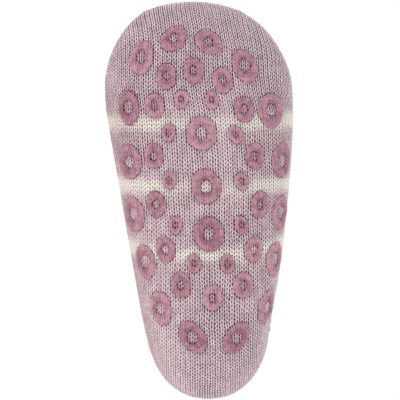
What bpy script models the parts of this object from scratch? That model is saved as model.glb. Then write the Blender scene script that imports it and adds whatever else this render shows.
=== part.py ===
"""Knitted slipper sock with printed rubber grip rings.

The sock keeps the shape of the foot it was worn on and lies on its side, sole toward -Y,
toe toward -X and collar toward +Y. All sizes are in metres.
"""
import math

import bpy
import numpy as np

# Sizes of the sock
SOLE_LENGTH = 0.1356      # back of heel to tip of toe
BALL_WIDTH = 0.0639       # widest part of the forefoot
INSTEP_HEIGHT = 0.0470    # underside to top of instep, just ahead of the ankle
SOCK_HEIGHT = 0.0880      # underside to collar
LEG_WIDTH = 0.0436        # side to side, above the ankle
LEG_DEPTH = 0.0450        # front to back, above the ankle
LEG_SETBACK = 0.0265      # centre of the leg, forward of the back of the heel
BEND_FORWARD = 0.0600     # point the ankle sections turn about, forward of the heel
BEND_HEIGHT = 0.0620      # the same point, above the underside
KNIT_WALL = 0.0020        # thickness of the knitted wall
CUFF_HEIGHT = 0.0170      # depth of the ribbed cuff below the collar
CUFF_STEP = 0.0006        # how far the cuff stands out of the leg
STEP_RUN = 0.0008         # length of the slope between leg and cuff
REST_LEAN = math.radians(9.9)   # turn that lays the side of the foot along the floor
REST_FLAT = 0.0006        # how much of the foot's side is pressed flat

# Sizes of the printed grips
LARGE_WIDE = 0.0105       # outer width of a large ring, across the foot
LARGE_LONG = 0.0122       # outer length of a large ring, along the foot
LARGE_HOLE = 0.0044       # its hole
EDGE_WIDE = 0.0086        # large rings where the edge of the sole is less stretched
EDGE_LONG = 0.0122
EDGE_HOLE = 0.0037
TOE_WIDE = 0.0103         # large rings drawn in over the toe
TOE_LONG = 0.0080
TOE_HOLE = 0.0038
MIDDLE_WIDE = 0.0071
MIDDLE_LONG = 0.0091
MIDDLE_HOLE = 0.0027
SMALL_WIDE = 0.0049
SMALL_LONG = 0.0066
SMALL_HOLE = 0.0016
GRIP_GAP = 0.0003         # clearance between knit and grip
GRIP_THICK = 0.0007       # thickness of a grip

# Foot sections, upright and square to the foot, from the tip of the toe to the ankle.
# along: place of its sides, share of the sole length from the heel
# bow: how far its middle runs ahead of its sides, share of the sole length
# half: half width, share of the ball width
# shift: sideways place of its middle, share of the ball width
# line: height of its widest line, share of the instep height
# under, over: depth below and height above that line, share of the instep height
# square: squareness of its underside, 2 being an ellipse
FOOT_COLUMNS = ("along", "bow", "half", "shift", "line", "under", "over", "square")
FOOT_ROWS = (
    (0.976, 0.024, 0.262, -0.082, 0.345, 0.000, 0.000, 2.00),
    (0.968, 0.025, 0.282, -0.078, 0.350, 0.099, 0.075, 2.00),
    (0.951, 0.024, 0.331, -0.073, 0.356, 0.191, 0.145, 2.00),
    (0.924, 0.022, 0.386, -0.067, 0.363, 0.267, 0.202, 2.00),
    (0.888, 0.020, 0.436, -0.062, 0.370, 0.322, 0.248, 2.02),
    (0.846, 0.016, 0.476, -0.056, 0.376, 0.354, 0.288, 2.05),
    (0.801, 0.012, 0.498, -0.051, 0.381, 0.374, 0.328, 2.10),
    (0.745, 0.008, 0.499, -0.045, 0.387, 0.386, 0.374, 2.14),
    (0.671, 0.004, 0.489, -0.036, 0.394, 0.394, 0.430, 2.18),
    (0.590, 0.001, 0.468, -0.025, 0.404, 0.404, 0.490, 2.22),
    (0.516, 0.000, 0.449, -0.019, 0.414, 0.414, 0.540, 2.26),
    (0.4425, 0.000, 0.430, -0.016, 0.424, 0.424, 0.576, 2.30),
)

# Ankle and heel sections, which all pass through the bend point in front of the ankle.
# turn: degrees turned from upright toward level
# reach, line, near: distance from the bend point to the heel side, the widest line and the
# instep side, share of the bend height
# half: half width, share of the ball width
# shift: sideways place, share of the ball width
# square: squareness of the heel side
HEEL_COLUMNS = ("turn", "reach", "line", "near", "half", "shift", "square")
HEEL_ROWS = (
    (12.0, 1.022, 0.697, 0.232, 0.411, -0.013, 2.32),
    (23.0, 1.086, 0.710, 0.221, 0.388, -0.009, 2.32),
    (32.0, 1.160, 0.716, 0.213, 0.365, -0.006, 2.30),
    (40.0, 1.205, 0.712, 0.206, 0.347, -0.003, 2.28),
    (47.0, 1.217, 0.694, 0.200, 0.335, 0.000, 2.26),
    (54.0, 1.190, 0.666, 0.195, 0.329, 0.003, 2.20),
    (62.0, 1.098, 0.622, 0.190, 0.330, 0.003, 2.12),
    (71.0, 1.006, 0.580, 0.184, 0.334, 0.001, 2.04),
    (80.0, 0.942, 0.556, 0.180, 0.338, 0.000, 2.00),
)

# Leg sections, level. Height: share of the way from the bend point to the collar.
LEG_ROWS = (0.0, 0.18, 0.36, 0.52, 0.68, 0.84, 1.0)

# Steps of the faceted solid in each span between two rows of the tables above.
OUTER_STEPS = (2, 2, 2, 1, 1, 1, 1, 2, 2, 2, 2, 2, 1, 2, 2, 2, 2, 2, 1, 1, 1)
INNER_STEPS = (1, 1, 1, 1, 1, 1, 1, 1, 1, 1, 1, 1, 1, 1, 1, 1, 1, 1, 1, 1, 1)
ROUND_STEPS = 40

# The printed grips, as charted from the sole.
# size: L large, E large at the edge, T large over the toe, M middle, S small
# along: share of the sole length from the heel
# across: share of the ball width from the middle of the heel, plus toward +Z
# turn: degrees the ring is turned on the knit, plus when its toe end turns toward +Z
GRIP_COLUMNS = ("size", "along", "across", "turn")
GRIP_ROWS = (
    ("T", 0.906, -0.181, -38.0),
    ("T", 0.897, 0.005, 38.0),
    ("E", 0.859, -0.351, 11.0),
    ("E", 0.838, 0.197, -24.0),
    ("M", 0.826, -0.076, -6.0),
    ("M", 0.812, -0.218, -1.0),
    ("M", 0.801, 0.080, -14.0),
    ("S", 0.754, -0.138, 8.0),
    ("S", 0.751, 0.021, -12.0),
    ("M", 0.738, -0.282, -3.0),
    ("E", 0.734, -0.420, -1.0),
    ("M", 0.728, 0.194, -10.0),
    ("L", 0.727, 0.338, -11.0),
    ("S", 0.669, -0.208, 5.0),
    ("L", 0.668, -0.032, -8.0),
    ("S", 0.665, 0.149, -16.0),
    ("M", 0.611, -0.285, -4.0),
    ("M", 0.611, 0.250, 2.0),
    ("L", 0.600, 0.397, 2.0),
    ("L", 0.596, -0.416, -8.0),
    ("S", 0.550, -0.202, 6.0),
    ("S", 0.548, 0.181, -10.0),
    ("L", 0.534, -0.008, -6.0),
    ("M", 0.490, -0.273, -8.0),
    ("M", 0.490, 0.277, 9.0),
    ("L", 0.470, 0.391, 10.0),
    ("L", 0.466, -0.394, -14.0),
    ("S", 0.438, -0.170, -3.0),
    ("S", 0.439, 0.179, -10.0),
    ("L", 0.417, 0.005, 0.0),
    ("M", 0.377, -0.224, -13.0),
    ("M", 0.377, 0.245, 6.0),
    ("L", 0.352, 0.360, 5.0),
    ("E", 0.347, -0.332, -16.0),
    ("S", 0.342, -0.072, -6.0),
    ("S", 0.341, 0.104, -2.0),
    ("M", 0.288, -0.141, -7.0),
    ("M", 0.287, 0.188, -1.0),
    ("M", 0.255, 0.026, 0.0),
    ("E", 0.229, -0.250, -12.0),
    ("L", 0.231, 0.316, 11.0),
    ("E", 0.157, -0.079, -30.0),
    ("E", 0.155, 0.153, 32.0),
)

FINE = 10          # fine steps between two table rows
FINE_ROUND = 240   # fine steps round a section

SOCK_COLOUR = (0.475, 0.362, 0.381, 1.0)
GRIP_COLOUR = (0.423, 0.216, 0.271, 1.0)


def section_rows():
    """Every section as centre (forward, up), turn, bow, half, shift, under, over, square."""
    rows = []
    for values in FOOT_ROWS:
        row = dict(zip(FOOT_COLUMNS, values))
        rows.append((
            row["along"] * SOLE_LENGTH,
            row["line"] * INSTEP_HEIGHT,
            0.0,
            row["bow"] * SOLE_LENGTH,
            row["half"] * BALL_WIDTH,
            row["shift"] * BALL_WIDTH,
            row["under"] * INSTEP_HEIGHT,
            row["over"] * INSTEP_HEIGHT,
            row["square"],
        ))
    for values in HEEL_ROWS:
        row = dict(zip(HEEL_COLUMNS, values))
        turn = math.radians(row["turn"])
        line = row["line"] * BEND_HEIGHT
        rows.append((
            BEND_FORWARD - line * math.sin(turn),
            BEND_HEIGHT - line * math.cos(turn),
            turn,
            0.0,
            row["half"] * BALL_WIDTH,
            row["shift"] * BALL_WIDTH,
            (row["reach"] - row["line"]) * BEND_HEIGHT,
            (row["line"] - row["near"]) * BEND_HEIGHT,
            row["square"],
        ))
    for share in LEG_ROWS:
        rows.append((
            LEG_SETBACK,
            BEND_HEIGHT + share * (SOCK_HEIGHT - BEND_HEIGHT),
            math.pi / 2,
            0.0,
            LEG_WIDTH / 2,
            0.0,
            LEG_DEPTH / 2,
            LEG_DEPTH / 2,
            2.0,
        ))
    return np.array(rows)


def smooth_rows(rows, steps):
    """Rows with steps smooth ones in each span, through every given row."""
    before = np.vstack([2 * rows[0] - rows[1], rows[:-1]])
    after = np.vstack([rows[1:], 2 * rows[-1] - rows[-2]])
    slope = (after - before) / 2
    out = []
    for k in range(len(rows) - 1):
        for j in range(steps):
            t = j / steps
            out.append(
                rows[k] * (2 * t**3 - 3 * t**2 + 1)
                + slope[k] * (t**3 - 2 * t**2 + t)
                + rows[k + 1] * (3 * t**2 - 2 * t**3)
                + slope[k + 1] * (t**3 - t**2)
            )
    out.append(rows[-1])
    return np.array(out)


def section(row, count):
    """Points evenly spaced round one section: forward, sideways, up."""
    forward, up, turn, bow, half, shift, under, over, square = row
    angle = np.linspace(0, 2 * math.pi, 481)
    low = np.cos(angle) > 0
    power = np.where(low, 2 / square, 1.0)
    side = half * np.sign(np.sin(angle)) * np.abs(np.sin(angle)) ** power
    depth = np.where(low, under, over) * np.sign(np.cos(angle)) * np.abs(np.cos(angle)) ** power
    lead = bow * (1 - (side / half) ** 2)
    x = forward + lead - depth * math.sin(turn)
    z = up - depth * math.cos(turn)
    path = np.stack([x, side + shift, z], axis=1)
    length = np.concatenate([[0], np.cumsum(np.linalg.norm(np.diff(path, axis=0), axis=1))])
    want = np.linspace(0, length[-1], count + 1)[:-1]
    return np.stack([np.interp(want, length, path[:, k]) for k in range(3)], axis=1)


def fine_surface():
    """The smooth outside of the sock without its cuff step, and its outward normals."""
    rows = smooth_rows(section_rows(), FINE)
    grid = np.array([section(row, FINE_ROUND) for row in rows])
    along = np.gradient(grid, axis=0)
    padded = np.concatenate([grid[:, -1:], grid, grid[:, :1]], axis=1)
    around = (padded[:, 2:] - padded[:, :-2]) / 2
    normal = np.cross(around, along)
    normal /= np.maximum(np.linalg.norm(normal, axis=2, keepdims=True), 1e-12)
    other = (FINE_ROUND // 2 - np.arange(FINE_ROUND)) % FINE_ROUND
    blunt = normal[2] + normal[2][other]
    normal[0] = blunt / np.linalg.norm(blunt, axis=1, keepdims=True)
    middle = grid.mean(axis=1, keepdims=True)
    if np.sum((grid - middle) * normal) < 0:
        normal = -normal
    return grid, normal


def look_up(field, p, q):
    """Value of a fine field at row p and turn q, both fractional."""
    p = min(max(p, 0.0), field.shape[0] - 1.001)
    q = q % FINE_ROUND
    i = int(p)
    j = int(q)
    a = p - i
    b = q - j
    jn = (j + 1) % FINE_ROUND
    near = field[i, j] * (1 - b) + field[i, jn] * b
    far = field[i + 1, j] * (1 - b) + field[i + 1, jn] * b
    return near * (1 - a) + far * a


def cuff_lift(height):
    """How far the outside stands out of the plain leg at a height."""
    start = SOCK_HEIGHT - CUFF_HEIGHT
    t = min(max((height - start) / STEP_RUN, 0.0), 1.0)
    return CUFF_STEP * t


def rest_level(grid):
    """Height of the floor plane before the sock is set on it."""
    side = grid[:, :, 0] * math.sin(REST_LEAN) + grid[:, :, 1] * math.cos(REST_LEAN)
    return float(side.min()) + REST_FLAT


def lay_down(points, level, keep):
    """Turn sock sizes into row coordinates, pressed flat where they meet the floor."""
    points = np.asarray(points)
    x = -(points[:, 0] * math.cos(REST_LEAN) - points[:, 1] * math.sin(REST_LEAN))
    z = points[:, 0] * math.sin(REST_LEAN) + points[:, 1] * math.cos(REST_LEAN) - level
    z = np.maximum(z, keep)
    return np.stack([x, points[:, 2], z], axis=1)


def station_places(steps):
    """Fractional fine rows for the stations of a faceted skin."""
    places = []
    for k, count in enumerate(steps):
        for j in range(count):
            places.append((k + j / count) * FINE)
    return places


def leg_places():
    """Fine rows of the stations up the leg, with two at the cuff's step."""
    first = (len(FOOT_ROWS) + len(HEEL_ROWS)) * FINE
    rise = SOCK_HEIGHT - BEND_HEIGHT
    start = SOCK_HEIGHT - CUFF_HEIGHT
    heights = [
        BEND_HEIGHT,
        (BEND_HEIGHT + start) / 2,
        start,
        start + STEP_RUN,
        (start + SOCK_HEIGHT) / 2,
        SOCK_HEIGHT,
    ]
    shares = [(h - BEND_HEIGHT) / rise for h in heights]
    where = [k * FINE for k in range(len(LEG_ROWS))]
    return [first + float(np.interp(s, LEG_ROWS, where)) for s in shares]


def material(name, colour, rough):
    mat = bpy.data.materials.new(name)
    mat.use_nodes = True
    shader = mat.node_tree.nodes["Principled BSDF"]
    shader.inputs["Base Color"].default_value = colour
    shader.inputs["Roughness"].default_value = rough
    shader.inputs["Metallic"].default_value = 0.0
    mat.diffuse_color = colour
    return mat


def add_object(name, points, faces, mat):
    mesh = bpy.data.meshes.new(name)
    mesh.from_pydata([tuple(p) for p in points], [], faces)
    mesh.materials.append(mat)
    mesh.update()
    obj = bpy.data.objects.new(name, mesh)
    bpy.context.scene.collection.objects.link(obj)
    return obj


def skin(places, grid, normal, inset, level):
    """Rings of points for one skin of the wall, toe first."""
    pick = np.arange(ROUND_STEPS) * (FINE_ROUND / ROUND_STEPS)
    rings = []
    for place in places:
        ring = []
        for q in pick:
            point = look_up(grid, place, q)
            out = look_up(normal, place, q)
            out = out / np.linalg.norm(out)
            lift = cuff_lift(point[2]) if inset == 0 and place > len(FOOT_ROWS) * FINE else 0.0
            if inset and place > (len(FOOT_ROWS) + len(HEEL_ROWS)) * FINE:
                out[2] = 0.0
                out = out / np.linalg.norm(out)
            ring.append(point + out * (lift - inset))
        rings.append(np.array(ring))
    other = (ROUND_STEPS // 2 - np.arange(ROUND_STEPS)) % ROUND_STEPS
    rings[0] = (rings[0] + rings[0][other]) / 2
    return [lay_down(ring, level, inset) for ring in rings]


def build_sock(grid, normal, level, mat):
    outer = skin(station_places(OUTER_STEPS)[:-1] + leg_places(), grid, normal, 0.0, level)
    inner = skin(station_places(INNER_STEPS)[:-1] + leg_places()[::5], grid, normal, KNIT_WALL, level)
    points = []
    faces = []
    n = ROUND_STEPS

    def add_skin(rings, flip):
        tags = []
        for k, ring in enumerate(rings):
            line = []
            for j, point in enumerate(ring):
                mate = (n // 2 - j) % n
                if k == 0 and mate < j:
                    line.append(line[mate])
                    continue
                line.append(len(points))
                points.append(point)
            tags.append(line)
        for k in range(len(tags) - 1):
            for j in range(n):
                jn = (j + 1) % n
                loop = [tags[k][j], tags[k][jn], tags[k + 1][jn], tags[k + 1][j]]
                loop = [v for i, v in enumerate(loop) if v not in loop[:i]]
                if flip:
                    loop.reverse()
                if len(loop) > 2:
                    faces.append(loop)
        return tags[-1]

    rim_out = add_skin(outer, True)
    rim_in = add_skin(inner, False)
    for j in range(n):
        jn = (j + 1) % n
        faces.append([rim_out[jn], rim_out[j], rim_in[j], rim_in[jn]])
    return add_object("knitted_sock", points, faces, mat)


def ring_place(grid, along, across):
    """Fine row and turn of the point of the sole seen at a charted place."""
    want = np.array([along * SOLE_LENGTH, across * BALL_WIDTH])
    rows = grid[: (len(FOOT_ROWS) + len(HEEL_ROWS)) * FINE]
    count = FINE_ROUND // 4
    turns = [k % FINE_ROUND for k in range(-count, count + 1)]
    sole = rows[:, turns]
    gap = (sole[:, :, 0] - want[0]) ** 2 + (sole[:, :, 1] - want[1]) ** 2
    gap = gap + np.where(sole[:, :, 2] > 0.5 * INSTEP_HEIGHT, 1.0, 0.0)
    near = np.unravel_index(np.argmin(gap), gap.shape)
    p = float(near[0])
    q = float(near[1] - count)
    for _ in range(4):
        step_p = (look_up(grid, p + 1, q) - look_up(grid, p - 1, q))[:2] / 2
        step_q = (look_up(grid, p, q + 1) - look_up(grid, p, q - 1))[:2] / 2
        miss = want - look_up(grid, p, q)[:2]
        move = np.linalg.solve(np.array([step_p, step_q]).T, miss)
        p += float(move[0])
        q += float(move[1])
    return p, q


def build_grip(name, grid, normal, level, row, mat):
    sizes = {
        "L": (LARGE_WIDE, LARGE_LONG, LARGE_HOLE, 16, 5),
        "E": (EDGE_WIDE, EDGE_LONG, EDGE_HOLE, 16, 5),
        "T": (TOE_WIDE, TOE_LONG, TOE_HOLE, 16, 5),
        "M": (MIDDLE_WIDE, MIDDLE_LONG, MIDDLE_HOLE, 14, 4),
        "S": (SMALL_WIDE, SMALL_LONG, SMALL_HOLE, 12, 4),
    }
    wide, long, hole, count, sides = sizes[row["size"]]
    p, q = ring_place(grid, row["along"], row["across"])
    centre = look_up(grid, p, q)
    out = look_up(normal, p, q)
    step_q = (look_up(grid, p, q + 1) - look_up(grid, p, q - 1)) / 2
    step_p = (look_up(grid, p + 1, q) - look_up(grid, p - 1, q)) / 2
    ahead = np.array([1.0, 0.0, 0.0]) - out * out[0]
    ahead = ahead / np.linalg.norm(ahead)
    aside = step_q - ahead * np.dot(step_q, ahead)
    aside = aside / np.linalg.norm(aside)
    solve = np.linalg.inv(np.array([
        [np.dot(step_q, aside), np.dot(step_p, aside)],
        [np.dot(step_q, ahead), np.dot(step_p, ahead)],
    ]))
    # Each pair: share of the way from hole to outside, share of the thickness.
    if sides == 5:
        profile = ((0.0, 0.0), (0.08, 0.7), (0.5, 1.0), (0.92, 0.7), (1.0, 0.0))
    else:
        profile = ((0.0, 0.0), (0.15, 1.0), (0.85, 1.0), (1.0, 0.0))
    spin = math.radians(row["turn"])
    points = []
    for k in range(count):
        turn = 2 * math.pi * k / count
        for share, rise in profile:
            half_wide = hole / 2 + share * (wide - hole) / 2
            half_long = hole * long / wide / 2 + share * (long - hole * long / wide) / 2
            a = half_wide * math.cos(turn)
            b = half_long * math.sin(turn)
            x = a * math.cos(spin) + b * math.sin(spin)
            y = b * math.cos(spin) - a * math.sin(spin)
            dq, dp = solve @ np.array([x, y])
            base = look_up(grid, p + dp, q + dq)
            away = look_up(normal, p + dp, q + dq)
            away = away / np.linalg.norm(away)
            points.append(base + away * (GRIP_GAP + rise * GRIP_THICK))
    faces = []
    m = len(profile)
    for k in range(count):
        kn = (k + 1) % count
        for j in range(m):
            jn = (j + 1) % m
            faces.append([k * m + j, k * m + jn, kn * m + jn, kn * m + j])
    laid = lay_down(points, level, -1.0)
    area = 0.0
    middle = laid.mean(axis=0)
    for face in faces:
        a, b, c, d = (laid[i] - middle for i in face)
        area += np.dot(a, np.cross(b, c)) + np.dot(a, np.cross(c, d))
    if area < 0:
        faces = [face[::-1] for face in faces]
    return add_object(name, laid, faces, mat)


def main():
    for obj in list(bpy.data.objects):
        bpy.data.objects.remove(obj)
    grid, normal = fine_surface()
    level = rest_level(grid)
    sock = build_sock(grid, normal, level, material("sock_knit", SOCK_COLOUR, 0.95))
    parts = [sock]
    for k, values in enumerate(GRIP_ROWS):
        name = "grip_ring_%02d" % (k + 1)
        row = dict(zip(GRIP_COLUMNS, values))
        mat = material(name + "_rubber", GRIP_COLOUR, 0.5)
        parts.append(build_grip(name, grid, normal, level, row, mat))
    corners = np.array([v.co for part in parts for v in part.data.vertices])
    low = corners.min(axis=0)
    high = corners.max(axis=0)
    shift = (-(low[0] + high[0]) / 2, -(low[1] + high[1]) / 2, 0.0)
    for part in parts:
        for v in part.data.vertices:
            v.co.x += shift[0]
            v.co.y += shift[1]
            v.co.z += shift[2]
        part.data.update()


main()
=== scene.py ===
"""Studio scene of a toddler's knitted slipper sock with rubber grip rings.

The knit is built as relief: every stitch of the outside is a pair of slanted yarn legs laid over
the same smooth foot shape as the solid. The foot is modelled as if it stood on its sole, with x
from heel to toe, and place() then lays it on its side as the solid lies. All sizes are in metres.

A place on the knit is given by its row p, which counts fine sections from the toe to the collar,
and its turn q, which goes once round from the middle of the sole. Stitches are counted in wales,
round the foot, and in courses, along it.
"""

import math

import bpy
import numpy as np
from mathutils import Matrix, Vector


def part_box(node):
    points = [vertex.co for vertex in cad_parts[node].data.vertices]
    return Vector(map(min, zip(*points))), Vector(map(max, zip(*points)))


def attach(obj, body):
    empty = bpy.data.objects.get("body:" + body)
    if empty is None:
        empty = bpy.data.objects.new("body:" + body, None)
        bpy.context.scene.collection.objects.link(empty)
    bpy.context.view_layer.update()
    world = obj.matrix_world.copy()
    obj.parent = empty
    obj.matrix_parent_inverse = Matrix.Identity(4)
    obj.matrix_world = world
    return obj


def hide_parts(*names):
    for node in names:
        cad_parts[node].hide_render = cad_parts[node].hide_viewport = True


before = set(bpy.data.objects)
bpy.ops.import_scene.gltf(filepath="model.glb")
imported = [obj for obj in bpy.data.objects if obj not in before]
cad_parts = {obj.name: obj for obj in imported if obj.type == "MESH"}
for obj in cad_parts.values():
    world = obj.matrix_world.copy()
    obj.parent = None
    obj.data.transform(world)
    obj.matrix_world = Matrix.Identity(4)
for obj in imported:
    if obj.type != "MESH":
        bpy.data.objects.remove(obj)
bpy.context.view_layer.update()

# Sizes of the sock, as in the solid
SOLE_LENGTH = 0.1356
BALL_WIDTH = 0.0639
INSTEP_HEIGHT = 0.0470
SOCK_HEIGHT = 0.0880
LEG_WIDTH = 0.0436
LEG_DEPTH = 0.0450
LEG_SETBACK = 0.0265
BEND_FORWARD = 0.0600
BEND_HEIGHT = 0.0620
KNIT_WALL = 0.0020
CUFF_HEIGHT = 0.0170
CUFF_STEP = 0.0006
STEP_RUN = 0.0008
REST_LEAN = math.radians(9.9)
REST_FLAT = 0.0006

# Ring sizes: outer width, outer length, hole width
RING_SIZES = {
    "L": (0.0105, 0.0122, 0.0044),
    "E": (0.0086, 0.0122, 0.0037),
    "T": (0.0103, 0.0080, 0.0038),
    "M": (0.0071, 0.0091, 0.0027),
    "S": (0.0049, 0.0066, 0.0016),
}
RING_THICK = 0.0007
# How far the thin inner lip of the print closes each hole, across and along
LIP = {"L": (0.84, 0.84), "E": (1.00, 0.86), "T": (0.77, 0.88), "M": (0.80, 0.92), "S": (1.00, 1.00)}
# How much of the print has run over the stitches inside each ring
FILM = {"L": 0.03, "E": 0.18, "T": 0.08, "M": 0.25, "S": 0.50}

# Knit
WALES = 96                # columns of stitches round the foot
COURSE = 0.00134          # height of a course of stitches
STITCH_DEPTH = 0.00050    # from the top of a yarn to the floor of a gap
HEEL_COURSES = 80         # courses round the back of the heel
FRONT_COURSES = 16        # courses round the front of the ankle
RIB_DEPTH = 0.00045

# Foot sections: along, bow, half, shift, line, under, over, square
FOOT_ROWS = (
    (0.976, 0.024, 0.262, -0.082, 0.345, 0.000, 0.000, 2.00),
    (0.968, 0.025, 0.282, -0.078, 0.350, 0.099, 0.075, 2.00),
    (0.951, 0.024, 0.331, -0.073, 0.356, 0.191, 0.145, 2.00),
    (0.924, 0.022, 0.386, -0.067, 0.363, 0.267, 0.202, 2.00),
    (0.888, 0.020, 0.436, -0.062, 0.370, 0.322, 0.248, 2.02),
    (0.846, 0.016, 0.476, -0.056, 0.376, 0.354, 0.288, 2.05),
    (0.801, 0.012, 0.498, -0.051, 0.381, 0.374, 0.328, 2.10),
    (0.745, 0.008, 0.499, -0.045, 0.387, 0.386, 0.374, 2.14),
    (0.671, 0.004, 0.489, -0.036, 0.394, 0.394, 0.430, 2.18),
    (0.590, 0.001, 0.468, -0.025, 0.404, 0.404, 0.490, 2.22),
    (0.516, 0.000, 0.449, -0.019, 0.414, 0.414, 0.540, 2.26),
    (0.4425, 0.000, 0.430, -0.016, 0.424, 0.424, 0.576, 2.30),
)
# Heel sections: turn, reach, line, near, half, shift, square
HEEL_ROWS = (
    (12.0, 1.022, 0.697, 0.232, 0.411, -0.013, 2.32),
    (23.0, 1.086, 0.710, 0.221, 0.388, -0.009, 2.32),
    (32.0, 1.160, 0.716, 0.213, 0.365, -0.006, 2.30),
    (40.0, 1.205, 0.712, 0.206, 0.347, -0.003, 2.28),
    (47.0, 1.217, 0.694, 0.200, 0.335, 0.000, 2.26),
    (54.0, 1.190, 0.666, 0.195, 0.329, 0.003, 2.20),
    (62.0, 1.098, 0.622, 0.190, 0.330, 0.003, 2.12),
    (71.0, 1.006, 0.580, 0.184, 0.334, 0.001, 2.04),
    (80.0, 0.942, 0.556, 0.180, 0.338, 0.000, 2.00),
)
LEG_ROWS = (0.0, 0.18, 0.36, 0.52, 0.68, 0.84, 1.0)

# Grip rings: size, along, across, turn
GRIP_ROWS = (
    ("T", 0.906, -0.181, -38.0),
    ("T", 0.897, 0.005, 38.0),
    ("E", 0.859, -0.351, 11.0),
    ("E", 0.838, 0.197, -24.0),
    ("M", 0.826, -0.076, -6.0),
    ("M", 0.812, -0.218, -1.0),
    ("M", 0.801, 0.080, -14.0),
    ("S", 0.754, -0.138, 8.0),
    ("S", 0.751, 0.021, -12.0),
    ("M", 0.738, -0.282, -3.0),
    ("E", 0.734, -0.420, -1.0),
    ("M", 0.728, 0.194, -10.0),
    ("L", 0.727, 0.338, -11.0),
    ("S", 0.669, -0.208, 5.0),
    ("L", 0.668, -0.032, -8.0),
    ("S", 0.665, 0.149, -16.0),
    ("M", 0.611, -0.285, -4.0),
    ("M", 0.611, 0.250, 2.0),
    ("L", 0.600, 0.397, 2.0),
    ("L", 0.596, -0.416, -8.0),
    ("S", 0.550, -0.202, 6.0),
    ("S", 0.548, 0.181, -10.0),
    ("L", 0.534, -0.008, -6.0),
    ("M", 0.490, -0.273, -8.0),
    ("M", 0.490, 0.277, 9.0),
    ("L", 0.470, 0.391, 10.0),
    ("L", 0.466, -0.394, -14.0),
    ("S", 0.438, -0.170, -3.0),
    ("S", 0.439, 0.179, -10.0),
    ("L", 0.417, 0.005, 0.0),
    ("M", 0.377, -0.224, -13.0),
    ("M", 0.377, 0.245, 6.0),
    ("L", 0.352, 0.360, 5.0),
    ("E", 0.347, -0.332, -16.0),
    ("S", 0.342, -0.072, -6.0),
    ("S", 0.341, 0.104, -2.0),
    ("M", 0.288, -0.141, -7.0),
    ("M", 0.287, 0.188, -1.0),
    ("M", 0.255, 0.026, 0.0),
    ("E", 0.229, -0.250, -12.0),
    ("L", 0.231, 0.316, 11.0),
    ("E", 0.157, -0.079, -30.0),
    ("E", 0.155, 0.153, 32.0),
)

# Cream stripes: middle of each along the sole and half width, both shares of the sole length,
# and how much fainter it is under the middle of the foot
STRIPES = ((0.692, 0.0230, 0.38), (0.530, 0.0210, 0.50), (0.362, 0.0205, 0.06))

# The fine surface: rows between two sections, and turns round each
FINE = 24
FINE_ROUND = 720
QUARTER = FINE_ROUND // 4
OUTLINE_POINTS = 1441
BLUNT_ROWS = 3            # rows at the tip of the toe whose normals are evened
BALL_ROW = 7 * FINE
FOOT_END = (len(FOOT_ROWS) - 1) * FINE
HEEL_END = (len(FOOT_ROWS) + len(HEEL_ROWS)) * FINE


def section_rows():
    """Each section: forward, up, turn, bow, half, shift, under, over and square."""
    rows = []
    for along, bow, half, shift, line, under, over, square in FOOT_ROWS:
        rows.append((
            along * SOLE_LENGTH,
            line * INSTEP_HEIGHT,
            0.0,
            bow * SOLE_LENGTH,
            half * BALL_WIDTH,
            shift * BALL_WIDTH,
            under * INSTEP_HEIGHT,
            over * INSTEP_HEIGHT,
            square,
        ))
    for turn, reach, line, near, half, shift, square in HEEL_ROWS:
        angle = math.radians(turn)
        rows.append((
            BEND_FORWARD - line * BEND_HEIGHT * math.sin(angle),
            BEND_HEIGHT - line * BEND_HEIGHT * math.cos(angle),
            angle,
            0.0,
            half * BALL_WIDTH,
            shift * BALL_WIDTH,
            (reach - line) * BEND_HEIGHT,
            (line - near) * BEND_HEIGHT,
            square,
        ))
    for share in LEG_ROWS:
        rows.append((
            LEG_SETBACK,
            BEND_HEIGHT + share * (SOCK_HEIGHT - BEND_HEIGHT),
            math.pi / 2,
            0.0,
            LEG_WIDTH / 2,
            0.0,
            LEG_DEPTH / 2,
            LEG_DEPTH / 2,
            2.0,
        ))
    return np.array(rows)


def smooth_rows(rows, steps):
    """Rows between the given ones, on a smooth curve through them."""
    before = np.vstack([2 * rows[0] - rows[1], rows[:-1]])
    after = np.vstack([rows[1:], 2 * rows[-1] - rows[-2]])
    slope = (after - before) / 2
    out = []
    for k in range(len(rows) - 1):
        for j in range(steps):
            t = j / steps
            out.append(
                rows[k] * (2 * t**3 - 3 * t**2 + 1)
                + slope[k] * (t**3 - 2 * t**2 + t)
                + rows[k + 1] * (3 * t**2 - 2 * t**3)
                + slope[k + 1] * (t**3 - t**2)
            )
    out.append(rows[-1])
    return np.array(out)


def section(row, count):
    """Evenly spaced points round one section, its girth, and how far aside each point is."""
    forward, up, turn, bow, half, shift, under, over, square = row
    angle = np.linspace(0, 2 * math.pi, OUTLINE_POINTS)
    low = np.cos(angle) > 0
    power = np.where(low, 2 / square, 1.0)
    side = half * np.sign(np.sin(angle)) * np.abs(np.sin(angle)) ** power
    depth = np.where(low, under, over) * np.sign(np.cos(angle)) * np.abs(np.cos(angle)) ** power
    lead = bow * (1 - (side / half) ** 2)
    x = forward + lead - depth * math.sin(turn)
    z = up - depth * math.cos(turn)
    path = np.stack([x, side + shift, z], axis=1)
    length = np.concatenate([[0], np.cumsum(np.linalg.norm(np.diff(path, axis=0), axis=1))])
    want = np.linspace(0, length[-1], count + 1)[:-1]
    points = np.stack([np.interp(want, length, path[:, k]) for k in range(3)], axis=1)
    return points, length[-1], np.interp(want, length, side / half)


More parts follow.
